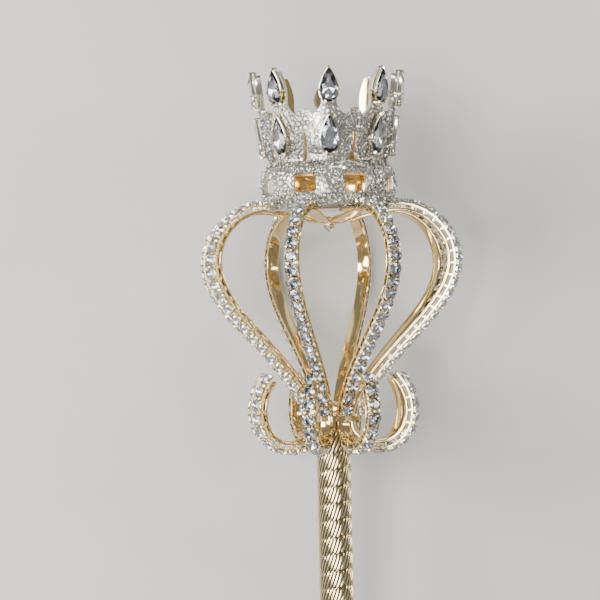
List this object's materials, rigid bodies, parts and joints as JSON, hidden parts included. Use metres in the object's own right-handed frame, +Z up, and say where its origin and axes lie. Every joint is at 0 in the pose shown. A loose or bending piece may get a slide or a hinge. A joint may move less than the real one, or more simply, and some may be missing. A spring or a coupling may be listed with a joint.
{
  "type": "ceremonial crown sceptre",
  "caption": "Slim ribbed handle carrying a heart-shaped cage of jewelled arms, curled jewelled scrolls and a small open jewelled crown; lies loose.",
  "frame": {"origin": "middle of the footprint on the surface the sceptre lies on", "axes": "+Y along the sceptre towards its crown, +Z up"},
  "size_m": [0.0894, 0.4202, 0.0893],
  "materials": {
    "ribbed_gold": "pressed ribs, bright gold plate",
    "gold_plate": "polished gold plate",
    "crown_casting": "cast, polished gold plate under set stones",
    "stone_row": "bright claws and silver-backed clear stones",
    "clear_stone": "cut and polished clear glass"
  },
  "bodies": {
    "root": {"handle_tube": "ribbed_gold", "pommel": "gold_plate", "neck": "gold_plate", "hub": "gold_plate", "crown": "crown_casting", "arm_strip_1": "gold_plate", "arm_stone_row_1": "stone_row", "scroll_strip_1": "gold_plate", "scroll_stone_row_1": "stone_row", "lower_pear_stone_1": "clear_stone", "upper_pear_stone_1": "clear_stone", "arm_strip_2": "gold_plate", "arm_stone_row_2": "stone_row", "scroll_strip_2": "gold_plate", "scroll_stone_row_2": "stone_row", "lower_pear_stone_2": "clear_stone", "upper_pear_stone_2": "clear_stone", "arm_strip_3": "gold_plate", "arm_stone_row_3": "stone_row", "scroll_strip_3": "gold_plate", "scroll_stone_row_3": "stone_row", "lower_pear_stone_3": "clear_stone", "upper_pear_stone_3": "clear_stone", "arm_strip_4": "gold_plate", "arm_stone_row_4": "stone_row", "scroll_strip_4": "gold_plate", "scroll_stone_row_4": "stone_row", "lower_pear_stone_4": "clear_stone", "upper_pear_stone_4": "clear_stone", "arm_strip_5": "gold_plate", "arm_stone_row_5": "stone_row", "scroll_strip_5": "gold_plate", "scroll_stone_row_5": "stone_row", "lower_pear_stone_5": "clear_stone", "upper_pear_stone_5": "clear_stone", "arm_strip_6": "gold_plate", "arm_stone_row_6": "stone_row", "scroll_strip_6": "gold_plate", "scroll_stone_row_6": "stone_row", "lower_pear_stone_6": "clear_stone", "upper_pear_stone_6": "clear_stone", "arm_strip_7": "gold_plate", "arm_stone_row_7": "stone_row", "scroll_strip_7": "gold_plate", "scroll_stone_row_7": "stone_row", "lower_pear_stone_7": "clear_stone", "upper_pear_stone_7": "clear_stone", "arm_strip_8": "gold_plate", "arm_stone_row_8": "stone_row", "scroll_strip_8": "gold_plate", "scroll_stone_row_8": "stone_row", "lower_pear_stone_8": "clear_stone", "upper_pear_stone_8": "clear_stone"}
  },
  "joints": []
}
